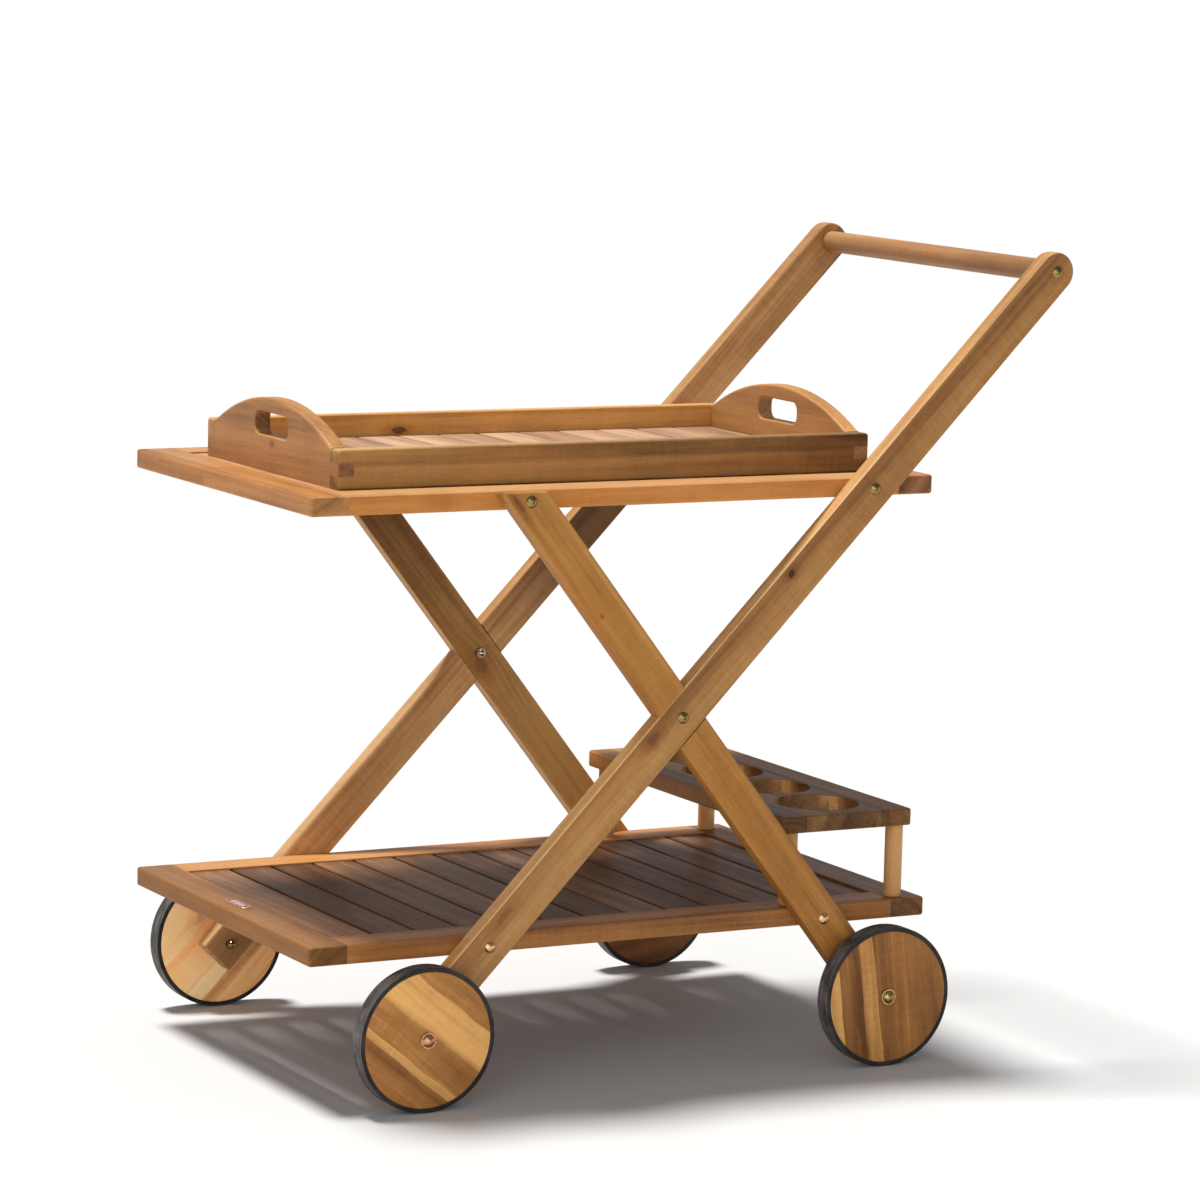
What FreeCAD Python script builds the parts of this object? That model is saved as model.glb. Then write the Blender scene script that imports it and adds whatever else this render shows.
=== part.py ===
import FreeCAD, Part
import math
import os

# Wooden serving trolley on four wheels: crossed side legs, two slatted
# shelves, a loose tray, a bottle rack and a round push handle.
# Millimetres, +X towards the push handle, +Z up, floor at z = 0,
# origin under the centre of the bounding box. Left is -Y, right is +Y.

V = FreeCAD.Vector
os.makedirs("parts", exist_ok=True)

# ---------------------------------------------------------------- dimensions
# stock
stock_w = 42.0            # width of legs and shelf rails
stock_t = 20.0            # thickness of legs and shelf rails
edge_r = 2.6              # rounding of the wooden edges

# shelves
shelf_half = 225.0        # half depth of both shelves
top_x0, top_x1 = -438.35, 283.65
top_z = 624.0             # upper face of the top shelf frame
low_x0, low_x1 = -432.35, 290.65
low_z = 169.0             # upper face of the lower shelf frame
slat_recess = 2.0         # slats lie this far below the frame's upper face
slat_t = 10.0
slat_gap = 4.0
slat_count = 13
slat_edge = 1.3
groove_d = 8.0            # groove in the side rails that takes the slat ends
slat_in = 7.5             # how far a slat reaches into the groove
tenon_l, tenon_w, tenon_t = 15.0, 11.0, 8.0

# crossed legs (x, z in the side plane)
cross_x, cross_z = -22.25, 383.5
long_dir = (0.69520, 0.71882)       # up and towards the handle
short_dir = (0.61820, -0.78602)     # down and towards the handle
leg_in = 225.0            # inner face of the legs
leg_out = 245.0           # outer face of the legs
handle_x = 417.35         # handle centre, on the axis of the long legs
axle_z = 75.0             # axle height, the wheels' outer radius
handle_s = (handle_x - cross_x) / long_dir[0]     # along the long leg
long_axle_s = (axle_z - cross_z) / long_dir[1]    # along the long leg
short_axle_s = (axle_z - cross_z) / short_dir[1]  # along the short leg
leg_foot = 22.0           # square foot beyond the axle
bolt_z_top = 614.0        # bolts into the top shelf
bolt_z_low = 159.0        # bolts into the lower shelf

# handle
dowel_r = 12.0

# wheels
wheel_r = axle_z
disc_r = 70.4
wheel_in, wheel_out = 251.3, 271.7
tyre_in, tyre_out = 251.0 + 0.15, 272.0 - 0.15
axle_r = 3.0
sleeve_r = 5.0
run_clear = 0.05          # running clearance between sleeve and wheel
spacer_r = 10.0
washer_r, washer_t = 8.8, 1.5

# fasteners
head_r, head_h = 6.3, 3.6
axle_head_r, axle_head_h = 7.0, 4.6
head_rim = 0.35           # upright rim under the domed heads
nut_af, nut_h = 10.0, 5.0
insert_r, insert_l = 5.0, 18.0

# tray
tray_x0, tray_x1 = -382.0, 239.0
tray_half = 165.0
tray_t = 18.0
tray_base = top_z - slat_recess + 0.1
tray_h = 41.0
tray_peak = 76.9
tray_edge = 3.6           # rounding of the tray's outer upper edges
arch_half = 145.0         # half chord of the arch on the end panels
hole_w, hole_h, hole_r, hole_z = 83.0, 24.0, 9.5, 49.2
tray_slats = 12
tray_slat_gap = 3.5
tray_slat_t = 8.0
tray_floor = 17.0         # floor height above the tray's base

# bottle rack
rack_x0, rack_x1 = 116.0, 274.0
rack_half = 222.0
rack_z0, rack_z1 = 247.5, 265.5
bottle_r = 45.5
bottle_pitch = 103.0
rim_r = 0.6
post_r = 9.5
post_tenon_r, post_tenon_l = 5.0, 10.0
post_x = (132.5, 262.5)
post_y = 204.5

# blank plate on the front rail of the lower shelf
plate_l, plate_w, plate_t = 50.0, 13.0, 1.0
plate_rim, plate_rise = 1.5, 0.6     # raised border and its height
plate_pin = 19.5          # pins from the plate's middle
plate_y = 0.0


# ------------------------------------------------------------------- helpers
def box(x0, x1, y0, y1, z0, z1):
    xa, xb = min(x0, x1), max(x0, x1)
    ya, yb = min(y0, y1), max(y0, y1)
    return Part.makeBox(xb - xa, yb - ya, z1 - z0, V(xa, ya, z0))


def cyl_y(x, z, r, y0, y1):
    ya, yb = min(y0, y1), max(y0, y1)
    return Part.makeCylinder(r, yb - ya, V(x, ya, z), V(0, 1, 0))


def cyl_z(x, y, r, z0, z1):
    return Part.makeCylinder(r, z1 - z0, V(x, y, z0), V(0, 0, 1))


def along(e, axis):
    """True for a straight edge along the axis (0 x, 1 y, 2 z)."""
    if e.Degenerated or not isinstance(e.Curve, (Part.Line, Part.LineSegment)):
        return False
    d = e.Vertexes[-1].Point.sub(e.Vertexes[0].Point)
    if d.Length < 1e-6:
        return False
    return abs((d.x, d.y, d.z)[axis]) / d.Length > 0.9999


def mid(e):
    return e.valueAt((e.FirstParameter + e.LastParameter) / 2.0)


def near(a, b, tol=0.02):
    return abs(a - b) < tol


def on_side_face(e):
    """True for an outline edge, one that lies in a plane of constant y."""
    ys = [e.valueAt(e.FirstParameter + k * (e.LastParameter - e.FirstParameter) / 4.0).y
          for k in range(5)]
    return max(ys) - min(ys) < 1e-6


def prism_xz(pts, y0, y1):
    """Straight-sided prism from an outline in the side plane."""
    ya, yb = min(y0, y1), max(y0, y1)
    w = Part.makePolygon([V(x, ya, z) for x, z in pts + [pts[0]]])
    return Part.Face(w).extrude(V(0, yb - ya, 0))


def clean(shape):
    s = shape.removeSplitter()
    return s.Solids[0] if len(s.Solids) == 1 else s


def write(name, shapes):
    if not isinstance(shapes, (list, tuple)):
        shapes = [shapes]
    solids = []
    for s in shapes:
        solids.extend(s.Solids)
    out = solids[0] if len(solids) == 1 else Part.makeCompound(solids)
    bad = [i for i, s in enumerate(solids) if not s.isValid() or s.Volume <= 0]
    out.exportStep("parts/%s.step" % name)
    b = out.BoundBox
    print("%-24s solids %2d  vol %10.1f  x %8.2f %8.2f  y %8.2f %8.2f  z %8.2f %8.2f %s" % (
        name, len(solids), out.Volume, b.XMin, b.XMax, b.YMin, b.YMax, b.ZMin, b.ZMax,
        "BAD %s" % bad if bad else ""))


# ------------------------------------------------------- crossed-leg geometry
dl = long_dir
nl = (-dl[1], dl[0])
ds = short_dir
ns = (-ds[1], ds[0])
half = stock_w / 2.0


def on_long(s, off=0.0):
    return (cross_x + s * dl[0] + off * nl[0], cross_z + s * dl[1] + off * nl[1])


def on_short(s, off=0.0):
    return (cross_x + s * ds[0] + off * ns[0], cross_z + s * ds[1] + off * ns[1])


def long_at(z):
    return on_long((z - cross_z) / dl[1])


def short_at(z):
    return on_short((z - cross_z) / ds[1])


handle = on_long(handle_s)
axle_front = on_long(long_axle_s)
axle_rear = on_short(short_axle_s)
t_front = short_at(bolt_z_top)     # short leg to top shelf
t_rear = long_at(bolt_z_top)       # long leg to top shelf
b_front = long_at(bolt_z_low)      # long leg to lower shelf
b_rear = short_at(bolt_z_low)      # short leg to lower shelf
print("handle", handle, "axles", axle_front, axle_rear)


# ----------------------------------------------------------------- fasteners
def hex_prism(af, h, z0):
    r = af / math.sqrt(3.0)
    pts = [V(r * math.cos(math.radians(60 * k)), r * math.sin(math.radians(60 * k)), z0)
           for k in range(7)]
    return Part.Face(Part.makePolygon(pts)).extrude(V(0, 0, h))


def dome(r, h, rim):
    """Low domed head standing on z = 0."""
    k = h - rim
    big = (r * r + k * k) / (2.0 * k)
    a = V(0, 0, h)
    c = V(r, 0, rim)
    ang = math.asin(r / big) / 2.0
    m = V(big * math.sin(ang), 0, h - big + big * math.cos(ang))
    edges = [Part.Arc(a, m, c).toShape(), Part.LineSegment(c, V(r, 0, 0)).toShape(),
             Part.LineSegment(V(r, 0, 0), V(0, 0, 0)).toShape(),
             Part.LineSegment(V(0, 0, 0), a).toShape()]
    return Part.Face(Part.Wire(edges)).revolve(V(0, 0, 0), V(0, 0, 1), 360)


def place(shape, s, x, y, z):
    """Turns a piece made along +Z to point outwards on side s."""
    out = shape.copy()
    out.rotate(V(0, 0, 0), V(1, 0, 0), -90.0 * s)
    out.translate(V(x, y, z))
    return out


def bolt(length, r, hr=head_r, hh=head_h):
    b = dome(hr, hh, head_rim)
    b = b.cut(hex_prism(4.0, 4.0, hh - 2.2))
    shank = Part.makeCylinder(r, length, V(0, 0, -length))
    tip = [e for e in shank.Edges if near(mid(e).z, -length) and isinstance(e.Curve, Part.Circle)]
    shank = shank.makeChamfer(0.6, tip)
    return clean(b.fuse(shank))


def wood_screw(length, r):
    b = dome(head_r, head_h, head_rim)
    b = b.cut(hex_prism(4.0, 4.0, head_h - 2.2))
    shank = Part.makeCylinder(r, length - 6.0, V(0, 0, -(length - 6.0)))
    point = Part.makeCone(0.4, r, 6.0, V(0, 0, -length))
    return clean(b.fuse([shank, point]))


def cap_nut():
    """Cap nut with its seat on z = 0 and its dome towards +Z."""
    body = hex_prism(nut_af, nut_h, 0.0)
    ring = Part.makeCone(nut_af / math.sqrt(3.0) + 0.35, nut_af / math.sqrt(3.0) - 0.75, nut_h, V(0, 0, 0))
    body = body.common(ring)
    cap = Part.makeSphere(4.5, V(0, 0, nut_h - 0.8)).common(
        Part.makeCylinder(6.0, 6.0, V(0, 0, nut_h - 0.6)))
    nut = body.fuse(cap)
    nut = nut.cut(Part.makeCylinder(axle_r + 0.05, 6.6, V(0, 0, 0)))
    return clean(nut)


def ring_z(r_out, r_in, z0, z1):
    return Part.makeCylinder(r_out, z1 - z0, V(0, 0, z0)).cut(
        Part.makeCylinder(r_in, z1 - z0 + 2, V(0, 0, z0 - 1)))


# ---------------------------------------------------------------------- legs
def leg_holes(shape, centres, r):
    for (x, z) in centres:
        shape = shape.cut(cyl_y(x, z, r, -400, 400))
    return shape


def long_leg(s):
    y0, y1 = sorted((s * leg_in, s * leg_out))
    s0 = long_axle_s - leg_foot
    a, b = on_long(s0, -half), on_long(handle_s, -half)
    c, d = on_long(handle_s, half), on_long(s0, half)
    m = on_long(handle_s + half)
    P = lambda q: V(q[0], y0, q[1])
    wire = Part.Wire([Part.LineSegment(P(a), P(b)).toShape(),
                      Part.Arc(P(b), P(m), P(c)).toShape(),
                      Part.LineSegment(P(c), P(d)).toShape(),
                      Part.LineSegment(P(d), P(a)).toShape()])
    leg = Part.Face(wire).extrude(V(0, y1 - y0, 0))
    es = [e for e in leg.Edges if on_side_face(e)]
    for q in (a, d):
        es += [e for e in leg.Edges if along(e, 1) and near(mid(e).x, q[0]) and near(mid(e).z, q[1])]
    leg = leg.makeFillet(edge_r, es)
    # lap: the inner half gives way to the short leg
    w = half + 0.1
    notch = prism_xz([on_short(-70, -w), on_short(70, -w), on_short(70, w), on_short(-70, w)],
                     s * (leg_in - 1.0), s * (leg_in + stock_t / 2.0 + 0.05))
    leg = leg.cut(notch)
    leg = leg_holes(leg, [(cross_x, cross_z), t_rear, b_front, axle_front], axle_r + 0.2)
    leg = leg_holes(leg, [handle], 2.7)
    return clean(leg)


def short_leg(s):
    y0, y1 = sorted((s * leg_in, s * leg_out))
    s1 = short_axle_s + leg_foot

    def top_cut(off):
        t = (top_z - cross_z - off * ns[1]) / ds[1]
        return on_short(t, off)

    pts = [top_cut(-half), on_short(s1, -half), on_short(s1, half), top_cut(half)]
    leg = prism_xz(pts, y0, y1)
    leg = leg.makeFillet(edge_r, leg.Edges)
    w = half + 0.1
    notch = prism_xz([on_long(-70, -w), on_long(70, -w), on_long(70, w), on_long(-70, w)],
                     s * (leg_out + 1.0), s * (leg_in + stock_t / 2.0 - 0.05))
    leg = leg.cut(notch)
    leg = leg_holes(leg, [(cross_x, cross_z), t_front, b_rear, axle_rear], axle_r + 0.2)
    return clean(leg)


for s, tag in ((-1, "left"), (1, "right")):
    write("long_leg_%s" % tag, long_leg(s))
    write("short_leg_%s" % tag, short_leg(s))

# push handle: round bar between the long legs
bar = cyl_y(handle[0], handle[1], dowel_r, -leg_in, leg_in)
bar = bar.makeFillet(0.8, [e for e in bar.Edges if isinstance(e.Curve, Part.Circle)])
for s in (-1, 1):
    bar = bar.cut(cyl_y(handle[0], handle[1], 2.55, s * (leg_in + 1), s * 186.0))
write("handle_bar", clean(bar))


# ------------------------------------------------------------------- shelves
def shelf(prefix, x0, x1, z1, bolts):
    z0 = z1 - stock_t
    xi0, xi1 = x0 + stock_w, x1 - stock_w
    yi = shelf_half - stock_w
    ring = box(x0, x1, -shelf_half, shelf_half, z0, z1).cut(
        box(xi0, xi1, -yi, yi, z0 - 1, z1 + 1))
    corners = [e for e in ring.Edges if along(e, 2) and near(abs(mid(e).y), shelf_half)]
    ring = ring.makeFillet(4.0, corners)
    outer = [e for e in ring.Edges
             if (near(mid(e).z, z0) or near(mid(e).z, z1))
             and not along(e, 2)
             and not (xi0 - 0.1 < mid(e).x < xi1 + 0.1 and abs(mid(e).y) < yi + 0.1)]
    ring = ring.makeFillet(edge_r, outer)
    inner = [e for e in ring.Edges
             if near(mid(e).z, z1)
             and xi0 - 0.1 < mid(e).x < xi1 + 0.1 and abs(mid(e).y) < yi + 0.1]
    ring = ring.makeFillet(1.0, inner)
    zm = (z0 + z1) / 2.0
    ty0, ty1 = yi + 3.5, yi + 3.5 + tenon_w
    zs1 = z1 - slat_recess
    zs0 = zs1 - slat_t
    # end rails run the full depth, side rails are tenoned between them
    for tag, xa, xb, xt in (("front", x0 - 1, xi0, xi0), ("rear", xi1, x1 + 1, xi1)):
        rail = ring.common(box(xa, xb, -300, 300, z0 - 5, z1 + 5))
        sgn = -1 if tag == "front" else 1
        for s in (-1, 1):
            rail = rail.cut(box(xt - sgn, xt + sgn * (tenon_l + 0.5), s * (ty0 - 0.05), s * (ty1 + 0.05),
                                zm - tenon_t / 2.0 - 0.05, zm + tenon_t / 2.0 + 0.05))
            if prefix == "lower" and tag == "rear":
                rail = rail.cut(cyl_z(post_x[1], s * post_y, post_tenon_r + 0.05,
                                      z1 - post_tenon_l - 0.5, z1 + 1))
        if prefix == "lower" and tag == "front":
            for py in (plate_y - plate_pin, plate_y + plate_pin):
                rail = rail.cut(cyl_z((x0 + xi0) / 2.0, py, 0.65, z1 - 7.5, z1 + 1))
        write("%s_end_rail_%s" % (prefix, tag), clean(rail))
    for s, tag in ((-1, "left"), (1, "right")):
        rail = ring.common(box(xi0, xi1, s * yi, s * (shelf_half + 5), z0 - 5, z1 + 5))
        rail = rail.cut(box(xi0 - 1, xi1 + 1, s * (yi - 1), s * (yi + groove_d),
                            zs0 - 0.05, zs1 + 0.05))
        for (xa, xb) in ((xi0 - tenon_l, xi0), (xi1, xi1 + tenon_l)):
            rail = rail.fuse(box(xa, xb, s * ty0, s * ty1, zm - tenon_t / 2.0, zm + tenon_t / 2.0))
        for (bx, bz) in bolts:
            rail = rail.cut(cyl_y(bx, bz, insert_r + 0.05, s * (shelf_half + 1), s * (shelf_half - insert_l - 0.5)))
            rail = rail.cut(cyl_y(bx, bz, axle_r + 0.2, s * (shelf_half + 1), s * (shelf_half - 30.0)))
        if prefix == "lower":
            rail = rail.cut(cyl_z(post_x[0], s * post_y, post_tenon_r + 0.05,
                                  z1 - post_tenon_l - 0.5, z1 + 1))
        write("%s_side_rail_%s" % (prefix, tag), clean(rail))
    # slats run across, their ends held in the grooves of the side rails
    w = (xi1 - xi0 - (slat_count + 1) * slat_gap) / slat_count
    ye = yi + slat_in
    slats = []
    for k in range(slat_count):
        xa = xi0 + slat_gap + k * (w + slat_gap)
        b = box(xa, xa + w, -ye, ye, zs0, zs1)
        long_e = [e for e in b.Edges if along(e, 1)]
        slats.append(b.makeFillet(slat_edge, long_e))
    write("%s_slats" % prefix, slats)
    return w


top_w = shelf("top", top_x0, top_x1, top_z, (t_front, t_rear))
shelf("lower", low_x0, low_x1, low_z, (b_front, b_rear))
print("slat width", top_w)

# --------------------------------------------------------------- bottle rack
board = box(rack_x0, rack_x1, -rack_half, rack_half, rack_z0, rack_z1)
board = board.makeFillet(5.0, [e for e in board.Edges if along(e, 2)])
bottle_x = (rack_x0 + rack_x1) / 2.0
bottle_y = [(k - 1.5) * bottle_pitch for k in range(4)]
for y in bottle_y:
    board = board.cut(cyl_z(bottle_x, y, bottle_r, rack_z0 - 1, rack_z1 + 1))
rims = [e for e in board.Edges if isinstance(e.Curve, Part.Circle) and near(e.Curve.Radius, bottle_r)
        and (near(mid(e).z, rack_z0) or near(mid(e).z, rack_z1))]
board = board.makeFillet(rim_r, rims)
outline = [e for e in board.Edges
           if (near(mid(e).z, rack_z0) or near(mid(e).z, rack_z1))
           and not (isinstance(e.Curve, Part.Circle) and e.Curve.Radius > 20)]
board = board.makeFillet(2.2, outline)
for x in post_x:
    for s in (-1, 1):
        board = board.cut(cyl_z(x, s * post_y, post_tenon_r + 0.05, rack_z0 - 1, rack_z0 + post_tenon_l + 0.5))
write("rack_board", clean(board))
for x, tag in zip(post_x, ("front", "rear")):
    for s, side in ((-1, "left"), (1, "right")):
        p = cyl_z(x, s * post_y, post_r, low_z, rack_z0)
        t = cyl_z(x, s * post_y, post_tenon_r, low_z - post_tenon_l, rack_z0 + post_tenon_l)
        t = t.makeChamfer(0.8, [e for e in t.Edges if isinstance(e.Curve, Part.Circle)])
        write("rack_post_%s_%s" % (tag, side), clean(p.fuse(t)))

# blank oval plate with a raised border and a plain raised middle, and its two pins
px = low_x0 + stock_w / 2.0


def oval(length, width, z0, z1):
    r = width / 2.0
    f = length / 2.0 - r
    return clean(Part.makeCylinder(r, z1 - z0, V(px, plate_y - f, z0)).fuse(
        [Part.makeCylinder(r, z1 - z0, V(px, plate_y + f, z0)),
         Part.makeBox(2 * r, 2 * f, z1 - z0, V(px - r, plate_y - f, z0))]))


z_field = low_z + plate_t
z_rim = z_field + plate_rise
plate = oval(plate_l, plate_w, low_z, z_rim)
plate = plate.cut(oval(plate_l - 2 * plate_rim, plate_w - 2 * plate_rim, z_field, z_rim + 1.0))
pad = oval(plate_l - 17.0, plate_w - 5.4, z_field - 0.5, z_rim)
pad = pad.makeFillet(0.55, [e for e in pad.Edges if near(mid(e).z, z_rim)])
plate = clean(plate.fuse(pad))
plate = plate.makeFillet(0.4, [e for e in plate.Edges if near(mid(e).z, z_rim)
                               and (abs(mid(e).x - px) > plate_w / 2.0 - 0.1 or abs(mid(e).y - plate_y) > plate_l / 2.0 - 0.1)])
pins = []
for py in (plate_y - plate_pin, plate_y + plate_pin):
    plate = plate.cut(cyl_z(px, py, 0.65, low_z - 1, low_z + 4))
    pin = dome(1.5, 0.7, 0.2).fuse(Part.makeCylinder(0.6, 8.0, V(0, 0, -8.0)))
    pin.translate(V(px, py, z_field))
    pins.append(clean(pin))
write("blank_plate", clean(plate))
write("plate_pins", pins)

# --------------------------------------------- bolts, inserts, screws, nuts
shelf_bolts, inserts, lap_bolts, lap_nuts, screws = [], [], [], [], []
for s in (-1, 1):
    for (x, z) in (t_front, t_rear, b_front, b_rear):
        shelf_bolts.append(place(bolt(36.0, axle_r), s, x, s * leg_out, z))
        inserts.append(place(ring_z(insert_r, axle_r + 0.05, -insert_l, -0.3), s, x, s * shelf_half, z))
    lap_bolts.append(place(bolt(25.0, axle_r), s, cross_x, s * leg_out, cross_z))
    lap_nuts.append(place(cap_nut(), -s, cross_x, s * leg_in, cross_z))
    screws.append(place(wood_screw(55.0, 2.5), s, handle[0], s * leg_out, handle[1]))
write("shelf_bolts", shelf_bolts)
write("shelf_inserts", inserts)
write("lap_bolts", lap_bolts)
write("lap_nuts", lap_nuts)
write("handle_screws", screws)

# ------------------------------------------------------------ wheels and axles
axle_bolts, sleeves, spacers, washers, axle_nuts = [], [], [], [], []
for (x, z), end in ((axle_front, "front"), (axle_rear, "rear")):
    for s, side in ((-1, "left"), (1, "right")):
        disc = cyl_y(x, z, disc_r, s * wheel_in, s * wheel_out)
        disc = disc.makeFillet(1.2, [e for e in disc.Edges if isinstance(e.Curve, Part.Circle)])
        disc = disc.cut(cyl_y(x, z, sleeve_r + run_clear, s * (wheel_in - 5), s * (wheel_out + 5)))
        write("wheel_disc_%s_%s" % (end, side), clean(disc))
        tyre = cyl_y(x, z, wheel_r, s * tyre_in, s * tyre_out)
        tyre = tyre.makeFillet(1.3, [e for e in tyre.Edges if isinstance(e.Curve, Part.Circle)])
        tyre = tyre.cut(cyl_y(x, z, disc_r + 0.05, s * (wheel_in - 5), s * (wheel_out + 5)))
        write("tyre_%s_%s" % (end, side), clean(tyre))
        head_u = 272.0 + washer_t
        axle_bolts.append(place(bolt(head_u - 219.5, axle_r, axle_head_r, axle_head_h), s, x, s * head_u, z))
        washers.append(place(ring_z(washer_r, axle_r + 0.15, 0.0, washer_t), s, x, s * 272.0, z))
        sleeves.append(place(ring_z(sleeve_r, axle_r + 0.1, 0.0, 27.0), s, x, s * leg_out, z))
        spacers.append(place(ring_z(spacer_r, sleeve_r + 0.1, 0.0, 6.0), s, x, s * leg_out, z))
        axle_nuts.append(place(cap_nut(), -s, x, s * leg_in, z))
washers = [w.makeFillet(0.4, [e for e in w.Edges if isinstance(e.Curve, Part.Circle)
                              and near(e.Curve.Radius, washer_r)]) for w in washers]
write("axle_bolts", axle_bolts)
write("axle_washers", washers)
write("axle_sleeves", sleeves)
write("axle_spacers", spacers)
write("axle_nuts", axle_nuts)

# ---------------------------------------------------------------------- tray
zb = tray_base
zt = tray_base + tray_h
fing = tray_h / 3.0
yi = tray_half - tray_t
xi0, xi1 = tray_x0 + tray_t, tray_x1 - tray_t
groove_z0 = zb + tray_floor - tray_slat_t
groove_z1 = zb + tray_floor
for s, tag in ((-1, "left"), (1, "right")):
    side = box(tray_x0, tray_x1, s * yi, s * tray_half, zb, zt)
    # the ends' upper edges are rounded most, then the rest of the outside
    side = side.makeFillet(tray_edge, [e for e in side.Edges if along(e, 1) and near(mid(e).z, zt)])
    es = [e for e in side.Edges if not (along(e, 1) or near(abs(mid(e).y), yi))
          and (near(abs(mid(e).y), tray_half))]
    side = side.makeFillet(edge_r, es)
    side = side.makeFillet(1.0, [e for e in side.Edges if along(e, 1) and near(mid(e).z, zb)])
    es = [e for e in side.Edges if along(e, 0) and near(abs(mid(e).y), yi) and near(mid(e).z, zt)]
    side = side.makeFillet(1.6, es)
    # gap for the end panels' middle finger
    for (xa, xb) in ((tray_x0 - 1, xi0), (xi1, tray_x1 + 1)):
        side = side.cut(box(xa, xb, s * (yi - 1), s * (tray_half + 1), zb + fing, zb + 2 * fing))
    # groove for the floor slats
    side = side.cut(box(xi0, xi1, s * (yi - 1), s * (yi + 6.0), groove_z0 - 0.05, groove_z1 + 0.05))
    write("tray_side_%s" % tag, clean(side))


def end_panel(xa, xb):
    """Arched end panel with a hand hole, outline drawn in the y-z plane."""
    rise = tray_peak - tray_h
    R = (arch_half ** 2 + rise ** 2) / (2.0 * rise)
    zc = zb + tray_peak - R
    blend = 26.0                       # hollow fillet at the foot of the arch
    # centre of the hollow fillet: tangent to the flat shoulder and the arch
    zf = zt + blend
    yf = math.sqrt((R + blend) ** 2 - (zf - zc) ** 2)
    k = R / (R + blend)
    ta = (yf * k, zc + (zf - zc) * k)  # where hollow and arch meet
    a0 = math.atan2(ta[1] - zf, ta[0] - yf)
    a1 = -math.pi / 2.0
    if a0 > 0:
        a0 -= 2 * math.pi
    am = (a0 + a1) / 2.0
    tm = (yf + blend * math.cos(am), zf + blend * math.sin(am))
    tf = (yf, zt)
    shoulder = max(yf + 0.5, tray_half)
    P = lambda y, z: V(xa, y, z)
    e = []
    e.append(Part.LineSegment(P(-tray_half, zb), P(tray_half, zb)).toShape())
    e.append(Part.LineSegment(P(tray_half, zb), P(tray_half, zt)).toShape())
    if tray_half - tf[0] > 0.05:
        e.append(Part.LineSegment(P(tray_half, zt), P(tf[0], zt)).toShape())
    e.append(Part.Arc(P(*tf), P(*tm), P(*ta)).toShape())
    e.append(Part.Arc(P(*ta), P(0, zb + tray_peak), P(-ta[0], ta[1])).toShape())
    e.append(Part.Arc(P(-ta[0], ta[1]), P(-tm[0], tm[1]), P(-tf[0], zt)).toShape())
    if tray_half - tf[0] > 0.05:
        e.append(Part.LineSegment(P(-tf[0], zt), P(-tray_half, zt)).toShape())
    e.append(Part.LineSegment(P(-tray_half, zt), P(-tray_half, zb)).toShape())
    panel = Part.Face(Part.Wire(e)).extrude(V(xb - xa, 0, 0))
    # hand hole
    h = box(xa - 5, xb + 5, -hole_w / 2.0, hole_w / 2.0,
            zb + hole_z - hole_h / 2.0, zb + hole_z + hole_h / 2.0)
    h = h.makeFillet(hole_r, [q for q in h.Edges if along(q, 0)])
    panel = panel.cut(h)
    outer_x = xa if abs(xa) > abs(xb) and xa < 0 else xb

    def in_plane(q, x):
        return near(q.Vertexes[0].Point.x, x) and near(q.Vertexes[-1].Point.x, x) and near(mid(q).x, x)

    def is_hole(q):
        m = mid(q)
        return abs(m.y) < hole_w / 2.0 + 0.1 and abs(m.z - (zb + hole_z)) < hole_h / 2.0 + 0.1

    for x in (xa, xb):
        panel = panel.makeFillet(1.6, [q for q in panel.Edges if in_plane(q, x) and is_hole(q)])
    for x in (xa, xb):
        crown = [q for q in panel.Edges if in_plane(q, x) and mid(q).z > zt - 0.01
                 and not (abs(mid(q).y) < hole_w / 2.0 + 3 and mid(q).z < zb + hole_z + hole_h / 2.0 + 3)]
        panel = panel.makeFillet(tray_edge if near(x, outer_x) else edge_r, crown)
    uprights = [q for q in panel.Edges if along(q, 2) and near(abs(mid(q).y), tray_half) and near(mid(q).x, outer_x)]
    panel = panel.makeFillet(edge_r, uprights)
    # the panel keeps only its middle finger at each end
    for s in (-1, 1):
        panel = panel.cut(box(xa - 1, xb + 1, s * yi, s * (tray_half + 1), zb - 1, zb + fing))
        panel = panel.cut(box(xa - 1, xb + 1, s * yi, s * (tray_half + 1), zb + 2 * fing, zt + 30))
        # the finger stays square where it meets the side
        panel = panel.fuse(box((xa + xb) / 2.0, xa + xb - outer_x, s * yi, s * tray_half, zb + fing, zb + 2 * fing))
    return clean(panel)


write("tray_end_front", end_panel(tray_x0, xi0))
write("tray_end_rear", end_panel(xi1, tray_x1))
w = (xi1 - xi0 - (tray_slats + 1) * tray_slat_gap) / tray_slats
floor = []
for k in range(tray_slats):
    xa = xi0 + tray_slat_gap + k * (w + tray_slat_gap)
    b = box(xa, xa + w, -(yi + 5.5), yi + 5.5, groove_z0, groove_z1)
    floor.append(b.makeFillet(1.1, [e for e in b.Edges if along(e, 1)]))
write("tray_slats", floor)
print("tray slat width", w)
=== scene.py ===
import math

import bmesh
import bpy
from mathutils import Matrix, Vector

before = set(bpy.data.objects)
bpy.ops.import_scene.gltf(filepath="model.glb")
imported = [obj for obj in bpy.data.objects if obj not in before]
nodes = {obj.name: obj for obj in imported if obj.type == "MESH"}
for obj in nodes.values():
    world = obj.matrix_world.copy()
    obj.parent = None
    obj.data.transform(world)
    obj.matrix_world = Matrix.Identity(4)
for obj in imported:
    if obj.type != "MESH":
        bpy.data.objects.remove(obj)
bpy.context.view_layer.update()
scene = bpy.context.scene


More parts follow.
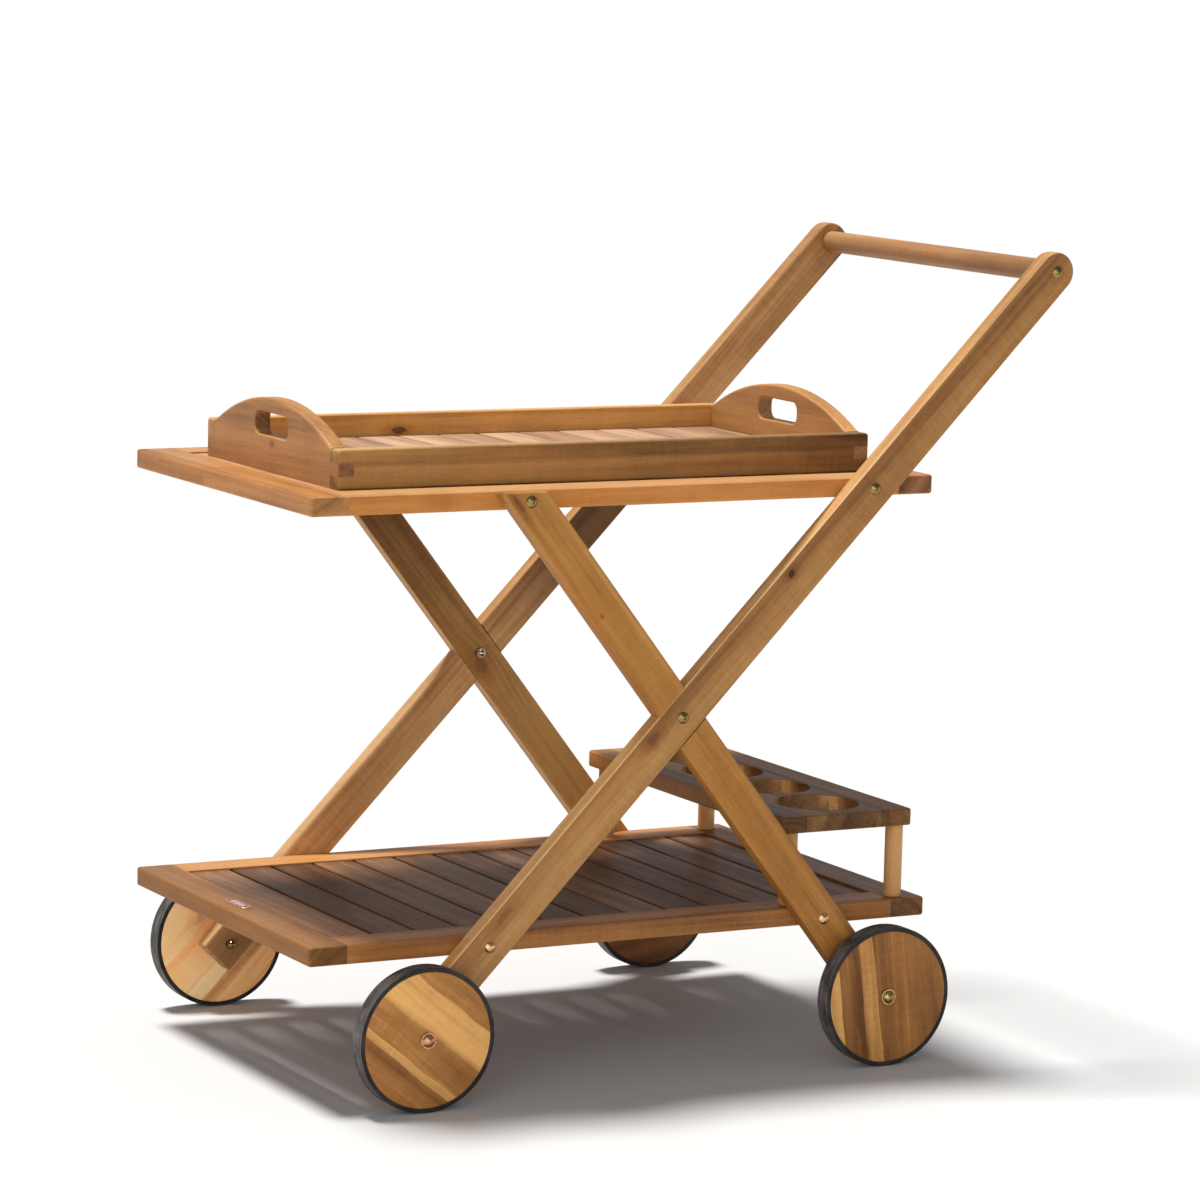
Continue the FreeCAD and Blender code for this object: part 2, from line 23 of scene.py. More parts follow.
# ---------------------------------------------------------------- small helpers
def lin(r, g, b):
    """An sRGB colour, 0 to 255, as linear RGBA."""
    out = []
    for c in (r, g, b):
        c /= 255.0
        out.append(c / 12.92 if c <= 0.04045 else ((c + 0.055) / 1.055) ** 2.4)
    return (*out, 1.0)


class Sig:
    """One number that varies over a surface."""

    def __init__(self, net, sock):
        self.net, self.sock = net, sock

    def __add__(self, o): return self.net.m("ADD", self, o)
    def __radd__(self, o): return self.net.m("ADD", o, self)
    def __sub__(self, o): return self.net.m("SUBTRACT", self, o)
    def __rsub__(self, o): return self.net.m("SUBTRACT", o, self)
    def __mul__(self, o): return self.net.m("MULTIPLY", self, o)
    def __rmul__(self, o): return self.net.m("MULTIPLY", o, self)
    def __truediv__(self, o): return self.net.m("DIVIDE", self, o)
    def __abs__(self): return self.net.m("ABSOLUTE", self)


class Net:
    """Builds one shader node tree."""

    def __init__(self, tree):
        self.tree = tree

    def node(self, kind, **props):
        n = self.tree.nodes.new(kind)
        for k, v in props.items():
            setattr(n, k, v)
        return n

    def put(self, socket, value):
        if isinstance(value, Sig):
            value = value.sock
        if isinstance(value, bpy.types.NodeSocket):
            self.tree.links.new(value, socket)
        elif value is not None:
            socket.default_value = value

    def m(self, op, a, b=None, c=None, clamp=False):
        n = self.node("ShaderNodeMath", operation=op, use_clamp=clamp)
        for s, v in zip(n.inputs, (a, b, c)):
            self.put(s, v)
        return Sig(self, n.outputs[0])

    def big(self, a, b): return self.m("MAXIMUM", a, b)
    def small(self, a, b): return self.m("MINIMUM", a, b)
    def power(self, a, b): return self.m("POWER", a, b)
    def floor(self, a): return self.m("FLOOR", a)
    def sine(self, a): return self.m("SINE", a)
    def root(self, a): return self.m("SQRT", a)

    def smooth(self, x, lo, hi, a=0.0, b=1.0, kind="SMOOTHSTEP"):
        n = self.node("ShaderNodeMapRange", interpolation_type=kind)
        for s, v in zip(n.inputs, (x, lo, hi, a, b)):
            self.put(s, v)
        return Sig(self, n.outputs[0])

    def xyz(self, x, y, z):
        n = self.node("ShaderNodeCombineXYZ")
        for s, v in zip(n.inputs, (x, y, z)):
            self.put(s, v)
        return n.outputs[0]

    def split(self, vector):
        n = self.node("ShaderNodeSeparateXYZ")
        self.put(n.inputs[0], vector)
        return [Sig(self, s) for s in n.outputs]

    def dot(self, vector, axis):
        n = self.node("ShaderNodeVectorMath", operation="DOT_PRODUCT")
        self.put(n.inputs[0], vector)
        self.put(n.inputs[1], axis)
        return Sig(self, n.outputs["Value"])

    def minus(self, vector, other):
        n = self.node("ShaderNodeVectorMath", operation="SUBTRACT")
        self.put(n.inputs[0], vector)
        self.put(n.inputs[1], other)
        return n.outputs[0]

    def noise(self, x, y, z, detail=2.0, rough=0.5, colour=False, distort=0.0):
        n = self.node("ShaderNodeTexNoise", noise_dimensions="3D")
        self.put(n.inputs["Vector"], self.xyz(x, y, z))
        n.inputs["Scale"].default_value = 1.0
        n.inputs["Detail"].default_value = detail
        n.inputs["Roughness"].default_value = rough
        n.inputs["Distortion"].default_value = distort
        if colour:
            c = self.node("ShaderNodeSeparateColor")
            self.put(c.inputs[0], n.outputs["Color"])
            return [Sig(self, s) for s in c.outputs]
        return Sig(self, n.outputs["Fac"])

    def chance(self, w):
        """Three random numbers that change with each whole w."""
        n = self.node("ShaderNodeTexWhiteNoise", noise_dimensions="1D")
        self.put(n.inputs["W"], w)
        c = self.node("ShaderNodeSeparateColor")
        self.put(c.inputs[0], n.outputs["Color"])
        return [Sig(self, s) for s in c.outputs]

    def mix(self, fac, a, b, blend="MIX"):
        n = self.node("ShaderNodeMix", data_type="RGBA", blend_type=blend, clamp_factor=True)
        self.put(n.inputs[0], fac)
        self.put(n.inputs[6], a)
        self.put(n.inputs[7], b)
        return n.outputs[2]

    def steps(self, x, low, high, stops, kind="CONSTANT"):
        """Numbers that jump from strip to strip: stops are (x where it starts, (a, b, c))."""
        t = self.smooth(x, low, high, 0.0, 1.0, "LINEAR")
        n = self.node("ShaderNodeValToRGB")
        ramp = n.color_ramp
        ramp.interpolation = kind
        while len(ramp.elements) < len(stops):
            ramp.elements.new(0.5)
        for e, (at, value) in zip(ramp.elements, stops):
            e.position = max(0.0, min(1.0, (at - low) / (high - low)))
            e.color = (*value, 1.0)
        self.put(n.inputs[0], t)
        c = self.node("ShaderNodeSeparateColor")
        self.put(c.inputs[0], n.outputs["Color"])
        return [Sig(self, s) for s in c.outputs]


def group(name, inputs, outputs):
    tree = bpy.data.node_groups.new(name, "ShaderNodeTree")
    for n, kind in inputs:
        tree.interface.new_socket(n, in_out="INPUT", socket_type=kind)
    for n, kind in outputs:
        tree.interface.new_socket(n, in_out="OUTPUT", socket_type=kind)
    net = Net(tree)
    gin = net.node("NodeGroupInput")
    gout = net.node("NodeGroupOutput")
    return tree, net, gin.outputs, gout.inputs


F, V, C = "NodeSocketFloat", "NodeSocketVector", "NodeSocketColor"


# ---------------------------------------------------------------- wood
# Grain coordinates are metres: X along the grain, Y across the board, Z through it.
def make_wood_group():
    tree, n, i, o = group(
        "solid_wood",
        [("Grain", V), ("Seed", F), ("Pith Y", F), ("Pith Z", F), ("Lean", F), ("Tone", F),
         ("Bands", F), ("Fine", F), ("Dark", C), ("Mid", C), ("Light", C),
         ("End", F), ("Edge", F), ("Core", F), ("Halo", F), ("Sap", F)],
        [("Color", C), ("Roughness", F), ("Height", F)])
    s = {k.name: Sig(n, k) for k in i if k.name}
    gx, gy, gz = n.split(i["Grain"])
    seed = s["Seed"]
    ox, oy, oz = seed * 3.17, seed * 1.93, seed * 2.41

    # slow waver of the fibres along the board
    wa, wb, wc = n.noise(gx * 2.3 + ox, gy * 9.0 + oy, gz * 9.0 + oz, 1.5, 0.5, colour=True)
    py = gy + (wa - 0.5) * 0.016
    pz = gz + (wb - 0.5) * 0.016
    # distance from the tree's heart, which runs beside the board and leans a little
    ry = py - s["Pith Y"] + gx * s["Lean"]
    rz = pz - s["Pith Z"]
    r = n.root(ry * ry + rz * rz)

    bands = n.noise(gx * 1.0 + ox, r * 46.0 + oy, oz, 1.5, 0.42)
    rings = n.noise(gx * 1.7 + oy, r * 210.0 + oz, ox, 2.0, 0.5)
    fibre = n.noise(gx * 12.0 + oz, py * 560.0 + ox, pz * 560.0 + oy, 3.0, 0.62)
    streak = n.noise(gx * 3.4 + oy, py * 130.0 + oz, pz * 130.0 + ox, 2.0, 0.5)
    blotch = n.noise(gx * 5.2 + oy, py * 24.0 + oz, pz * 24.0 + ox, 3.0, 0.55)
    cloud = n.noise(gx * 12.0 + oz, py * 27.0 + ox, pz * 27.0 + oy, 2.0, 0.5)
    ripple = n.noise(gx * 210.0 + oy, py * 42.0 + ox, pz * 42.0 + oz, 1.5, 0.5)
    pore = n.noise(gx * 70.0 + ox, py * 1200.0 + oz, pz * 1200.0 + oy, 1.0, 0.5)
    pores = n.smooth(pore, 0.60, 0.74)

    wide = n.smooth(bands, 0.28, 0.72, -1.0, 1.0, "SMOOTHERSTEP")
    tone = (0.5 + s["Tone"] + wide * s["Bands"] + s["Sap"] * 0.20
            + (rings - 0.5) * s["Fine"] * (1.0 + s["End"] * 0.8)
            + (fibre - 0.5) * s["Fine"] * 0.75
            + (streak - 0.5) * 0.40
            + (blotch - 0.5) * 0.52
            + (cloud - 0.5) * 0.30
            + (ripple - 0.5) * (0.16 + s["Sap"] * 0.14))
    low = n.mix(n.smooth(tone, 0.05, 0.50, kind="LINEAR"), i["Dark"], i["Mid"])
    colour = n.mix(n.smooth(tone, 0.50, 0.95, kind="LINEAR"), low, i["Light"])
    # redder and yellower patches, and olive sapwood
    colour = n.mix(n.smooth(blotch, 0.42, 0.74) * 0.45, colour, (1.05, 0.92, 0.80, 1.0), "MULTIPLY")
    colour = n.mix(n.smooth(wc, 0.45, 0.75) * 0.5, colour, (0.97, 1.02, 0.95, 1.0), "MULTIPLY")
    colour = n.mix(s["Sap"] * 0.6, colour, (1.0, 1.02, 1.0, 1.0), "MULTIPLY")
    # thin dark mineral lines that follow the rings, and short dark streaks
    vein = n.smooth(abs(n.noise(gx * 0.8 + oz, r * 80.0 + ox, oy + 4.0, 1.5, 0.5) - 0.5), 0.0, 0.034, 1.0, 0.0)
    patchy = n.smooth(n.noise(gx * 2.2 + ox, py * 16.0 + oz, pz * 16.0, 1.0, 0.5), 0.50, 0.66)
    colour = n.mix(vein * patchy * 0.36, colour, (0.66, 0.55, 0.45, 1.0), "MULTIPLY")
    colour = n.mix(n.smooth(streak, 0.58, 0.76, 0.0, 1.0) * 0.18, colour, (0.72, 0.62, 0.52, 1.0), "MULTIPLY")
    colour = n.mix(pores * 0.38, colour, (0.60, 0.50, 0.42, 1.0), "MULTIPLY")
    # knots
    colour = n.mix(s["Halo"] * 0.62, colour, (0.66, 0.48, 0.36, 1.0), "MULTIPLY")
    heart = n.mix(n.smooth(rings, 0.35, 0.65), lin(56, 30, 18), lin(108, 64, 40))
    colour = n.mix(s["Core"], colour, heart)
    # end grain takes up more oil and goes darker and greyer
    speck = n.smooth(fibre, 0.32, 0.70)
    dull = n.mix(speck, (0.50, 0.56, 0.74, 1.0), (0.72, 0.79, 1.02, 1.0))
    colour = n.mix(s["End"], colour, n.mix(1.0, colour, dull, "MULTIPLY"))
    # edges are painted a little paler: partly wear, partly a painted highlight along the rounded edges
    edge_wear_and_highlight = s["Edge"] * n.smooth(blotch, 0.30, 0.62, 0.35, 1.0)
    colour = n.mix(edge_wear_and_highlight * 0.36, colour, n.mix(0.5, colour, i["Light"]))
    n.put(o["Color"], colour)
    n.put(o["Roughness"], 0.50 + (fibre - 0.5) * 0.20 + pores * 0.12 + s["End"] * 0.14
          - edge_wear_and_highlight * 0.07 + (blotch - 0.5) * 0.14 - (ripple - 0.5) * 0.06)
    n.put(o["Height"], fibre * 0.55 + rings * 0.35 - pores * 0.55 - s["Core"] * 0.25)
    return tree


def make_knot_group():
    tree, n, i, o = group(
        "wood_knot",
        [("Grain", V), ("X", F), ("Y", F), ("Long", F), ("Wide", F), ("Swirl", F)],
        [("Grain", V), ("Core", F), ("Halo", F)])
    gx, gy, gz = n.split(i["Grain"])
    s = {k.name: Sig(n, k) for k in i if k.name}
    dx, dy = gx - s["X"], gy - s["Y"]
    ax, ay = dx / s["Long"], dy / s["Wide"]
    ripple = n.noise(gx * 150.0, gy * 260.0, gz * 90.0, 2.0, 0.5) - 0.5
    d = n.root(ax * ax + ay * ay)
    reach = n.m("EXPONENT", (ax * ax * 0.10 + ay * ay * 0.16) * -1.0)
    n.put(o["Grain"], n.xyz(gx, gy - dy * reach * s["Swirl"], gz))
    n.put(o["Core"], n.smooth(d + ripple * 0.9, 0.55, 1.05, 1.0, 0.0))
    n.put(o["Halo"], n.smooth(d + ripple * 1.4, 0.9, 2.6, 1.0, 0.0))
    return tree


WOOD = make_wood_group()
KNOT = make_knot_group()

# dark, middle and light wood of each kind of piece; leg_far, tray_in and wheel_pale are paler copies that stand in for
# light (painted light), tray_slat is a paler, greyer copy of slat that stands in for sheen (painted sheen), and
# low_slat and rack are darker copies that stand in for shade (painted shade)
TONES = {
    "leg": (lin(110, 69, 33), lin(162, 112, 61), lin(192, 144, 87)),
    "leg_far": (lin(60, 35, 14), lin(188, 134, 80), lin(240, 192, 134)),
    "leg_dark": (lin(94, 58, 24), lin(164, 113, 57), lin(212, 162, 96)),
    "leg_gold": (lin(122, 76, 30), lin(174, 117, 52), lin(198, 146, 80)),
    "handle": (lin(112, 74, 44), lin(158, 112, 70), lin(190, 146, 100)),
    "gold": (lin(149, 85, 35), lin(198, 128, 60), lin(216, 154, 86)),
    "rail": (lin(120, 74, 36), lin(178, 120, 64), lin(210, 156, 98)),
    "red": (lin(116, 68, 40), lin(172, 112, 66), lin(200, 142, 92)),
    "low_front": (lin(100, 60, 22), lin(142, 91, 34), lin(170, 115, 50)),
    "slat": (lin(118, 82, 56), lin(174, 128, 90), lin(206, 164, 124)),
    "low_slat": (lin(66, 43, 28), lin(106, 73, 50), lin(158, 118, 84)),
    "tray": (lin(84, 53, 26), lin(150, 106, 57), lin(186, 141, 83)),
    "tray_in": (lin(150, 98, 52), lin(201, 146, 81), lin(228, 177, 110)),
    "tray_end": (lin(124, 80, 44), lin(180, 127, 74), lin(208, 156, 98)),
    "tray_slat": (lin(120, 88, 68), lin(176, 138, 108), lin(208, 176, 146)),
    "post": (lin(170, 120, 72), lin(204, 153, 97), lin(226, 180, 124)),
    "rack": (lin(76, 48, 26), lin(124, 85, 48), lin(172, 130, 80)),
    "wheel": (lin(110, 65, 30), lin(178, 121, 62), lin(244, 186, 110)),
    "wheel_pale": (lin(150, 96, 54), lin(250, 193, 126), lin(255, 226, 172)),
}


def new_material(name):
    m = bpy.data.materials.new(name)
    m.use_nodes = True
    n = Net(m.node_tree)
    m.node_tree.nodes.clear()
    out = n.node("ShaderNodeOutputMaterial")
    bsdf = n.node("ShaderNodeBsdfPrincipled")
    n.put(out.inputs["Surface"], bsdf.outputs["BSDF"])
    return m, n, bsdf


def dress(node, material):
    """The whole CAD node takes this material."""
    mesh = nodes[node].data
    mesh.materials.clear()
    mesh.materials.append(material)


def wood(node, origin, along, across, tone, seed, pith=(0.07, 0.05), lean=0.02, shift=0.0,
         bands=0.20, fine=0.46, knots=(), edge=1.0, end=0.85, each=None, spread=0.46, strips=None, pieces=None,
         waver=0.0, sap=None, fade=None, shade=None, lift=(), gloss=0.26):
    """Solid wood that is cut out of one board, or out of a row of boards.
    along and across are the grain's and the board's directions. knots are (along, across, half length, half width,
    swirl, core, halo).
    each is (first edge, pitch) of boards side by side across the grain, spread how much their tones differ.
    strips is (low, high, [(start, (tone, seed, bands))]) across the grain, and pieces is the same along it.
    sap is (across, slope, width, side): paler sapwood beyond that line on the side +1 or -1.
    fade and shade are [(place, tone)], slow changes of tone along and across the grain.
    lift is [(direction, colour factor, [(along, amount)], how closely a face has to be turned that way)]: faces turned
    that way are painted lighter or darker, which is painted light and shade."""
    m, n, bsdf = new_material("wood_" + node)
    ax = Vector(along).normalized()
    ay = Vector(across).normalized()
    az = ax.cross(ay)
    coord = n.node("ShaderNodeTexCoord")
    p = n.minus(coord.outputs["Object"], tuple(origin))
    g = n.xyz(n.dot(p, tuple(ax)), n.dot(p, tuple(ay)), n.dot(p, tuple(az)))
    normal = coord.outputs["Normal"]
    nx, ny, nz = (abs(n.dot(normal, tuple(a))) for a in (ax, ay, az))
    end_mask = n.smooth(nx, 0.62, 0.92)
    edge_mask = n.smooth(n.big(n.big(nx, ny), nz), 0.74, 0.985, 1.0, 0.0)

    w = n.node("ShaderNodeGroup")
    w.node_tree = WOOD
    i = w.inputs
    seed_in, tone_in, bands_in, pith_y, pith_z, lean_in = seed, shift, bands, pith[0], pith[1], lean
    if each is not None:
        first, pitch = each
        _, gy, _ = n.split(g)
        index = n.floor((gy - first) / pitch)
        a, b, c = n.chance(index + seed * 7.0)
        seed_in = seed + a * 61.0
        tone_in = (b - 0.5) * spread + shift
        pith_y = (c - 0.5) * 0.22 + (index + 0.5) * pitch + first
        pith_z = (a - 0.5) * 0.10 + 0.03
        lean_in = (b - 0.5) * 0.14
    if strips is not None or pieces is not None:
        low, high, stops = strips or pieces
        gx, gy, gz = n.split(g)
        if strips is not None:
            where = gy + (n.noise(gx * 26.0 + seed, gz * 26.0, seed, 2.0, 0.55) - 0.5) * waver
        else:
            where = gx
        a, b, c = n.steps(where, low, high, [(at, (t + 0.5, sd, bd)) for at, (t, sd, bd) in stops])
        tone_in = a - 0.5 + shift
        seed_in = b * 40.0 + seed
        bands_in = c
        pith_y = (b - 0.5) * 0.20
    if fade is not None:
        gx, gy, gz = n.split(g)
        f = n.steps(gx, fade[0][0], fade[-1][0], [(at, (t + 0.5,) * 3) for at, t in fade], "B_SPLINE")[0]
        tone_in = f - 0.5 + tone_in
    if shade is not None:
        gx, gy, gz = n.split(g)
        sway = gy + (n.noise(gx * 20.0 + seed, gz * 20.0, seed + 3.0, 2.0, 0.55) - 0.5) * (waver + 0.004)
        f = n.steps(sway, shade[0][0], shade[-1][0], [(at, (t + 0.5,) * 3) for at, t in shade], "LINEAR")[0]
        tone_in = f - 0.5 + tone_in
    sap_in = None
    if sap is not None:
        at, slope, width, side = sap
        gx, gy, gz = n.split(g)
        wave = (n.noise(gx * 9.0 + seed, gy * 30.0, gz * 30.0 + seed, 3.0, 0.6) - 0.5) * 0.020
        sap_in = n.smooth((gy + wave - gx * slope - at) * side, -width, width)
    core = halo = None
    for x, y, long, wide, swirl, dark, *smoke in knots:
        k = n.node("ShaderNodeGroup")
        k.node_tree = KNOT
        for name, value in zip(("Grain", "X", "Y", "Long", "Wide", "Swirl"), (g, x, y, long, wide, swirl)):
            n.put(k.inputs[name], value)
        g = k.outputs["Grain"]
        c, h = Sig(n, k.outputs["Core"]) * dark, Sig(n, k.outputs["Halo"]) * (smoke[0] if smoke else min(1.0, dark + 0.25))
        core = c if core is None else n.big(core, c)
        halo = h if halo is None else n.big(halo, h)
    for name, value in (("Grain", g), ("Seed", seed_in), ("Pith Y", pith_y), ("Pith Z", pith_z),
                        ("Lean", lean_in), ("Tone", tone_in), ("Bands", bands_in), ("Fine", fine),
                        ("Dark", TONES[tone][0]), ("Mid", TONES[tone][1]), ("Light", TONES[tone][2]),
                        ("End", end_mask * end), ("Edge", edge_mask * edge), ("Core", core), ("Halo", halo), ("Sap", sap_in)):
        n.put(i[name], value)
    colour = w.outputs["Color"]
    # painted light and shade: faces turned along each direction take a colour factor, paler for painted sheen and
    # highlights, darker for painted shade
    for axis, factor, ramp, *turn in lift:
        facing = n.smooth(n.dot(normal, axis), *(turn or (0.40, 0.66)))
        gx, gy, gz = n.split(g)
        amount = n.steps(gx, ramp[0][0], ramp[-1][0], [(at, (t,) * 3) for at, t in ramp], "B_SPLINE")[0]
        turned = n.mix(1.0, colour, (*factor, 1.0), "MULTIPLY")
        if factor[0] > 1.3:
            turned = n.mix(1.0, turned, (0.84, 0.62, 0.42, 1.0), "DARKEN")
        colour = n.mix(facing * amount, colour, turned)
    n.put(bsdf.inputs["Base Color"], colour)
    n.put(bsdf.inputs["Roughness"], w.outputs["Roughness"])
    bump = n.node("ShaderNodeBump")
    bump.inputs["Strength"].default_value = 0.40
    bump.inputs["Distance"].default_value = 0.0005
    n.put(bump.inputs["Height"], w.outputs["Height"])
    n.put(bsdf.inputs["Normal"], bump.outputs["Normal"])
    bsdf.inputs["IOR"].default_value = 1.46
    bsdf.inputs["Specular IOR Level"].default_value = gloss
    bsdf.inputs["Coat Weight"].default_value = 0.03
    bsdf.inputs["Coat Roughness"].default_value = 0.38
    dress(node, m)
    return m


X, Y, Z = (1, 0, 0), (0, 1, 0), (0, 0, 1)
LONG, LONG_N = (0.6952, 0, 0.71882), (-0.71882, 0, 0.6952)
SHORT, SHORT_N = (0.6182, 0, -0.78602), (0.78602, 0, 0.6182)
CROSS_L, CROSS_R = (-0.02225, -0.235, 0.3835), (-0.02225, 0.235, 0.3835)

# ---- legs and handle
# colour factors for painted light: paler, greyer upward faces stand in for sheen and light, a paler rounded top edge
# (arris) is a painted highlight, and inner faces turned to -Y take painted light or shade
PAINTED_SHEEN, PAINTED_LIGHT = (1.95, 2.5, 3.7), (1.85, 2.05, 2.35)
ARRIS, INNER = (-0.5083, -0.7071, 0.4916), (0, -1, 0)
TOP_SHEEN = (1.04, 1.10, 1.28)
# the upward narrow face is painted paler and greyer along the leg (painted sheen and light), and the rounded top edge
# takes a painted highlight
wood("long_leg_left", CROSS_L, LONG, LONG_N, "leg", 1.7, pith=(0.075, 0.030), lean=0.018, bands=0.08, shift=-0.02,
     sap=(0.0005, 0.013, 0.007, -1), fade=[(-0.42, 0.06), (-0.12, 0.16), (0.0, -0.12), (0.10, 0.02), (0.25, -0.05), (0.50, -0.20), (0.65, -0.14)],
     lift=[(LONG_N, PAINTED_SHEEN, [(-0.42, 0.0), (0.10, 0.30), (0.26, 0.75), (0.42, 0.50), (0.65, 0.30)]),
           (LONG_N, PAINTED_LIGHT, [(-0.42, 1.0), (0.02, 1.0), (0.20, 0.2), (0.65, 0.0)]),
           (ARRIS, (1.40, 1.52, 1.90), [(-0.42, 0.3), (-0.05, 0.5), (0.10, 0.9), (0.28, 0.5), (0.65, 0.2)], 0.80, 0.94)],
     knots=[(0.1907, 0.0113, 0.0052, 0.0042, 0.8, 0.95), (-0.0380, 0.0105, 0.0115, 0.0062, 0.85, 0.55, 0.90),
            (-0.0230, 0.0180, 0.0150, 0.0040, 0.6, 0.15, 0.60), (-0.2782, 0.0112, 0.0130, 0.0045, 0.8, 0.40)])
# the paler palette and the paler lower end stand in for light on the far leg (painted light); the upward face, the
# inner face just below the top shelf and the inner face at the foot are painted darker (painted shade)
wood("long_leg_right", CROSS_R, LONG, LONG_N, "leg_far", 5.3, pith=(-0.06, 0.045), lean=-0.012, bands=0.12, fine=0.40,
     lift=[(LONG_N, (0.62, 0.64, 0.68), [(-0.45, 1.0), (-0.02, 1.0), (0.12, 0.6), (0.65, 0.8)]),
           (INNER, (0.66, 0.62, 0.58), [(-0.46, 1.0), (-0.41, 1.0), (-0.37, 0.0), (-0.30, 0.0)]),
           (INNER, (0.22, 0.19, 0.12), [(0.02, 0.0), (0.09, 0.50), (0.16, 1.0), (0.26, 1.0), (0.33, 0.0)])],
     fade=[(-0.45, 0.26), (-0.14, 0.27), (0.00, 0.18), (0.20, 0.06), (0.36, 0.02), (0.42, 0.06), (0.52, -0.14), (0.65, -0.16)])
wood("short_leg_left", CROSS_L, SHORT, SHORT_N, "leg_gold", 9.1, pith=(0.055, -0.050), lean=0.03, bands=0.14, fine=0.60,
     knots=[(-0.1468, -0.0089, 0.0022, 0.0014, 0.5, 0.8), (-0.2997, -0.0117, 0.0130, 0.0032, 0.5, 0.5)])
# tone rising towards the lower end and the inner face painted darker near the top: painted shade under the top shelf
wood("short_leg_right", CROSS_R, SHORT, SHORT_N, "leg_dark", 13.9, pith=(-0.070, -0.030), lean=-0.02, bands=0.16,
     lift=[(INNER, (0.36, 0.32, 0.22), [(-0.30, 1.0), (-0.14, 0.85), (0.04, 0.0), (0.36, 0.0)])],
     fade=[(-0.30, 0.02), (0.06, 0.10), (0.14, 0.24), (0.36, 0.18)],
     sap=(0.0125, -0.050, 0.0035, 1), knots=[(0.0130, -0.0070, 0.0130, 0.0080, 0.8, 0.35, 0.85)])
wood("handle_bar", (0.41735, 0, 0.83804), Y, X, "handle", 17.2, pith=(0.05, 0.03), bands=0.16, shift=-0.12, edge=0.0)

# ---- top shelf
# top faces painted paler and greyer: painted sheen
wood("top_side_rail_left", (-0.077, -0.204, 0.614), X, Z, "gold", 21.4, pith=(0.060, 0.030), lean=0.010, bands=0.10,
     lift=[(Z, (0.93, 1.25, 2.3), [(-0.36, 1.0), (0.36, 0.9)])],
     knots=[(-0.2180, 0.0000, 0.0120, 0.0085, 0.8, 0.10)])
wood("top_side_rail_right", (-0.077, 0.204, 0.614), X, Z, "rail", 23.8, pith=(-0.055, 0.030), bands=0.14, lift=[(Z, TOP_SHEEN, [(-0.36, 0.8), (0.36, 0.8)])])
# the front face is painted paler towards the far end (painted light); the top face is darker towards the far end
wood("top_end_rail_front", (-0.41735, 0, 0.614), Y, X, "rail", 27.7, pith=(0.050, -0.040), lean=0.03, bands=0.16, end=0.42,
     lift=[(Z, (0.70, 0.72, 0.76), [(-0.23, 0.0), (0.02, 0.20), (0.23, 1.0)]),
           ((-1, 0, 0), (1.22, 1.16, 1.02), [(-0.23, 0.3), (0.0, 0.6), (0.23, 1.0)])],
     pieces=(-0.23, 0.23, [(-0.23, (0.06, 0.35, 0.14)), (0.042, (0.02, 0.77, 0.20))]))
wood("top_end_rail_rear", (0.26265, 0, 0.614), Y, X, "red", 31.1, pith=(-0.050, -0.040), lean=-0.03, bands=0.20, shift=-0.12)
wood("top_slats", (0, 0, 0.617), Y, X, "slat", 35.0, bands=0.12, each=(-0.39435, 0.048769))

# ---- lower shelf
# shifted darker: painted shade
wood("lower_side_rail_left", (-0.071, -0.204, 0.159), X, Z, "rail", 41.9, pith=(0.050, -0.050), lean=0.012, bands=0.14, shift=-0.16)
wood("lower_side_rail_right", (-0.071, 0.204, 0.159), X, Z, "rail", 44.3, pith=(-0.060, 0.040), bands=0.14, shift=0.05)
# the top face is painted paler and greyer (painted sheen) and the front face darker (painted shade)
wood("lower_end_rail_front", (-0.41135, 0, 0.159), Y, X, "low_front", 47.6, pith=(0.050, 0.060), lean=0.02, bands=0.10,
     lift=[(Z, (0.90, 1.0, 1.75), [(-0.23, 1.0), (0.23, 1.0)]), ((-1, 0, 0), (0.92, 0.88, 0.78), [(-0.23, 1.0), (0.23, 1.0)])])
# shifted darker: painted shade
wood("lower_end_rail_rear", (0.26965, 0, 0.159), Y, X, "rail", 51.2, pith=(-0.045, 0.060), lean=0.02, bands=0.16, shift=-0.32, end=0.95)
# the darker palette stands in for the shade under the top shelf, and the tone across the slats, paler at the front and
# darker in the middle and rear, is painted shade too
wood("lower_slats", (0, 0, 0.162), Y, X, "low_slat", 55.0, bands=0.14, each=(-0.38835, 0.048846), gloss=0.14,
     shade=[(-0.39, 0.12), (-0.25, 0.05), (-0.10, -0.12), (0.10, -0.18), (0.25, -0.10)])

# ---- bottle rack
# the darker palette and the darker near end stand in for the shade under the top shelf (painted shade); the front face,
# the hole walls turned towards the near front corner and the far end are painted paler (painted light)
wood("rack_board", (0.1950, 0, 0.2565), Y, X, "rack", 61.0, pith=(0.05, 0.05), bands=0.16, end=0.4, gloss=0.14,
     lift=[((-1, 0, 0), (1.95, 1.85, 1.60), [(-0.222, 0.4), (0.0, 0.8), (0.222, 0.65)]),
           ((-0.47, -0.88, 0), (1.9, 2.2, 2.7), [(-0.222, 0.0), (-0.218, 0.0), (-0.204, 1.0), (0.222, 1.0)], 0.60, 0.85)],
     fade=[(-0.222, -0.16), (0.10, -0.08), (0.16, 0.04), (0.222, 0.20)],
     strips=(-0.080, 0.080, [(-0.080, (0.02, 0.11, 0.14)), (-0.0515, (0.16, 0.52, 0.12)), (-0.0255, (-0.06, 0.83, 0.16)),
                             (0.0335, (0.22, 0.27, 0.10)), (0.0400, (-0.14, 0.41, 0.16)), (0.0505, (0.02, 0.68, 0.16))]))
